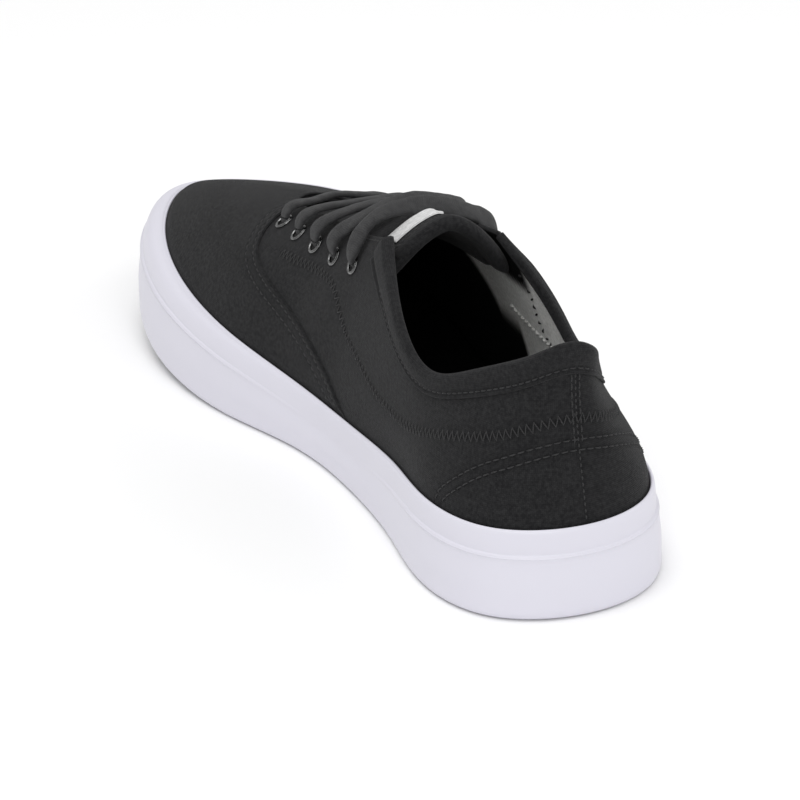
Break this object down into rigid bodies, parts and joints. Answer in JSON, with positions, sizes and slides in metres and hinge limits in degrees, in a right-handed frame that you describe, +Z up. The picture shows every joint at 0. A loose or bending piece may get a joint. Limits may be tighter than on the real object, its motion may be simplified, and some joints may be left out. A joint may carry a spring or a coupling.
{
  "type": "skateboarding shoe",
  "caption": "Low skateboarding shoe with a black canvas upper, flat laces over a tongue, and a white cupped rubber sole with a grooved tread.",
  "frame": {"origin": "on the floor under the middle of the footprint's box, with the shoe standing on its sole", "axes": "+Z up, +Y from the heel to the toe, +X towards the lateral (outer) side of this right shoe"},
  "size_m": [0.1028, 0.3, 0.0913],
  "materials": {
    "white_rubber": "smooth",
    "black_canvas": "woven canvas",
    "sockliner": "woven",
    "white_label": "woven",
    "dark_eyelet_metal": "dark polished",
    "black_lace": "braided"
  },
  "bodies": {
    "root": {"outsole": "white_rubber", "foxing": "white_rubber", "insole": "sockliner", "upper": "black_canvas", "tongue": "black_canvas", "tongue_label": "white_label", "eyelet_medial_1": "dark_eyelet_metal", "eyelet_medial_2": "dark_eyelet_metal", "eyelet_medial_3": "dark_eyelet_metal", "eyelet_medial_4": "dark_eyelet_metal", "eyelet_medial_5": "dark_eyelet_metal", "eyelet_lateral_1": "dark_eyelet_metal", "eyelet_lateral_2": "dark_eyelet_metal", "eyelet_lateral_3": "dark_eyelet_metal", "eyelet_lateral_4": "dark_eyelet_metal", "eyelet_lateral_5": "dark_eyelet_metal", "lace_bar_1": "black_lace", "lace_bar_2": "black_lace", "lace_bar_3": "black_lace", "lace_bar_4": "black_lace", "lace_bar_5": "black_lace"}
  },
  "joints": []
}
